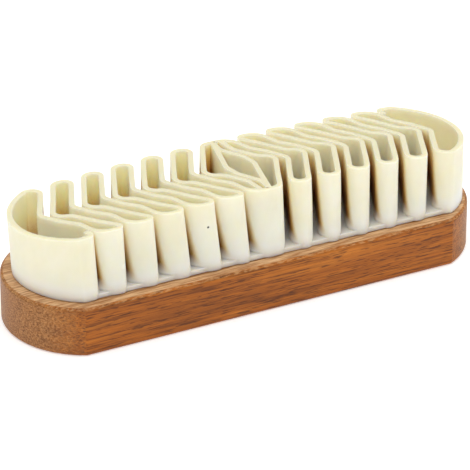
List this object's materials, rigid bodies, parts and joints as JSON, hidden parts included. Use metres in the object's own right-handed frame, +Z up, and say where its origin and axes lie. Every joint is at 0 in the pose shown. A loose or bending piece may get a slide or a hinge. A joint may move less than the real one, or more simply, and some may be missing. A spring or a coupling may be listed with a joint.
{
  "type": "suede brush",
  "caption": "Hand-held suede brush: an upright comb of looped cream crepe-rubber walls glued on a varnished wooden block with straight sides and bowed ends.",
  "frame": {"origin": "middle of the wooden block's flat underside", "axes": "+X along the block, +Y towards the long side whose left half has the open slots (seen with +Y away from the eye), +Z up out of the rubber's working edges"},
  "size_m": [0.15, 0.046, 0.0383],
  "materials": {
    "wood_block": "thin clear varnish over stained beech",
    "glue_film": "set contact adhesive",
    "crepe_comb": "matt cream crepe rubber"
  },
  "bodies": {
    "root": {"wood_block": "wood_block", "glue_film": "glue_film", "crepe_comb": "crepe_comb"}
  },
  "joints": []
}
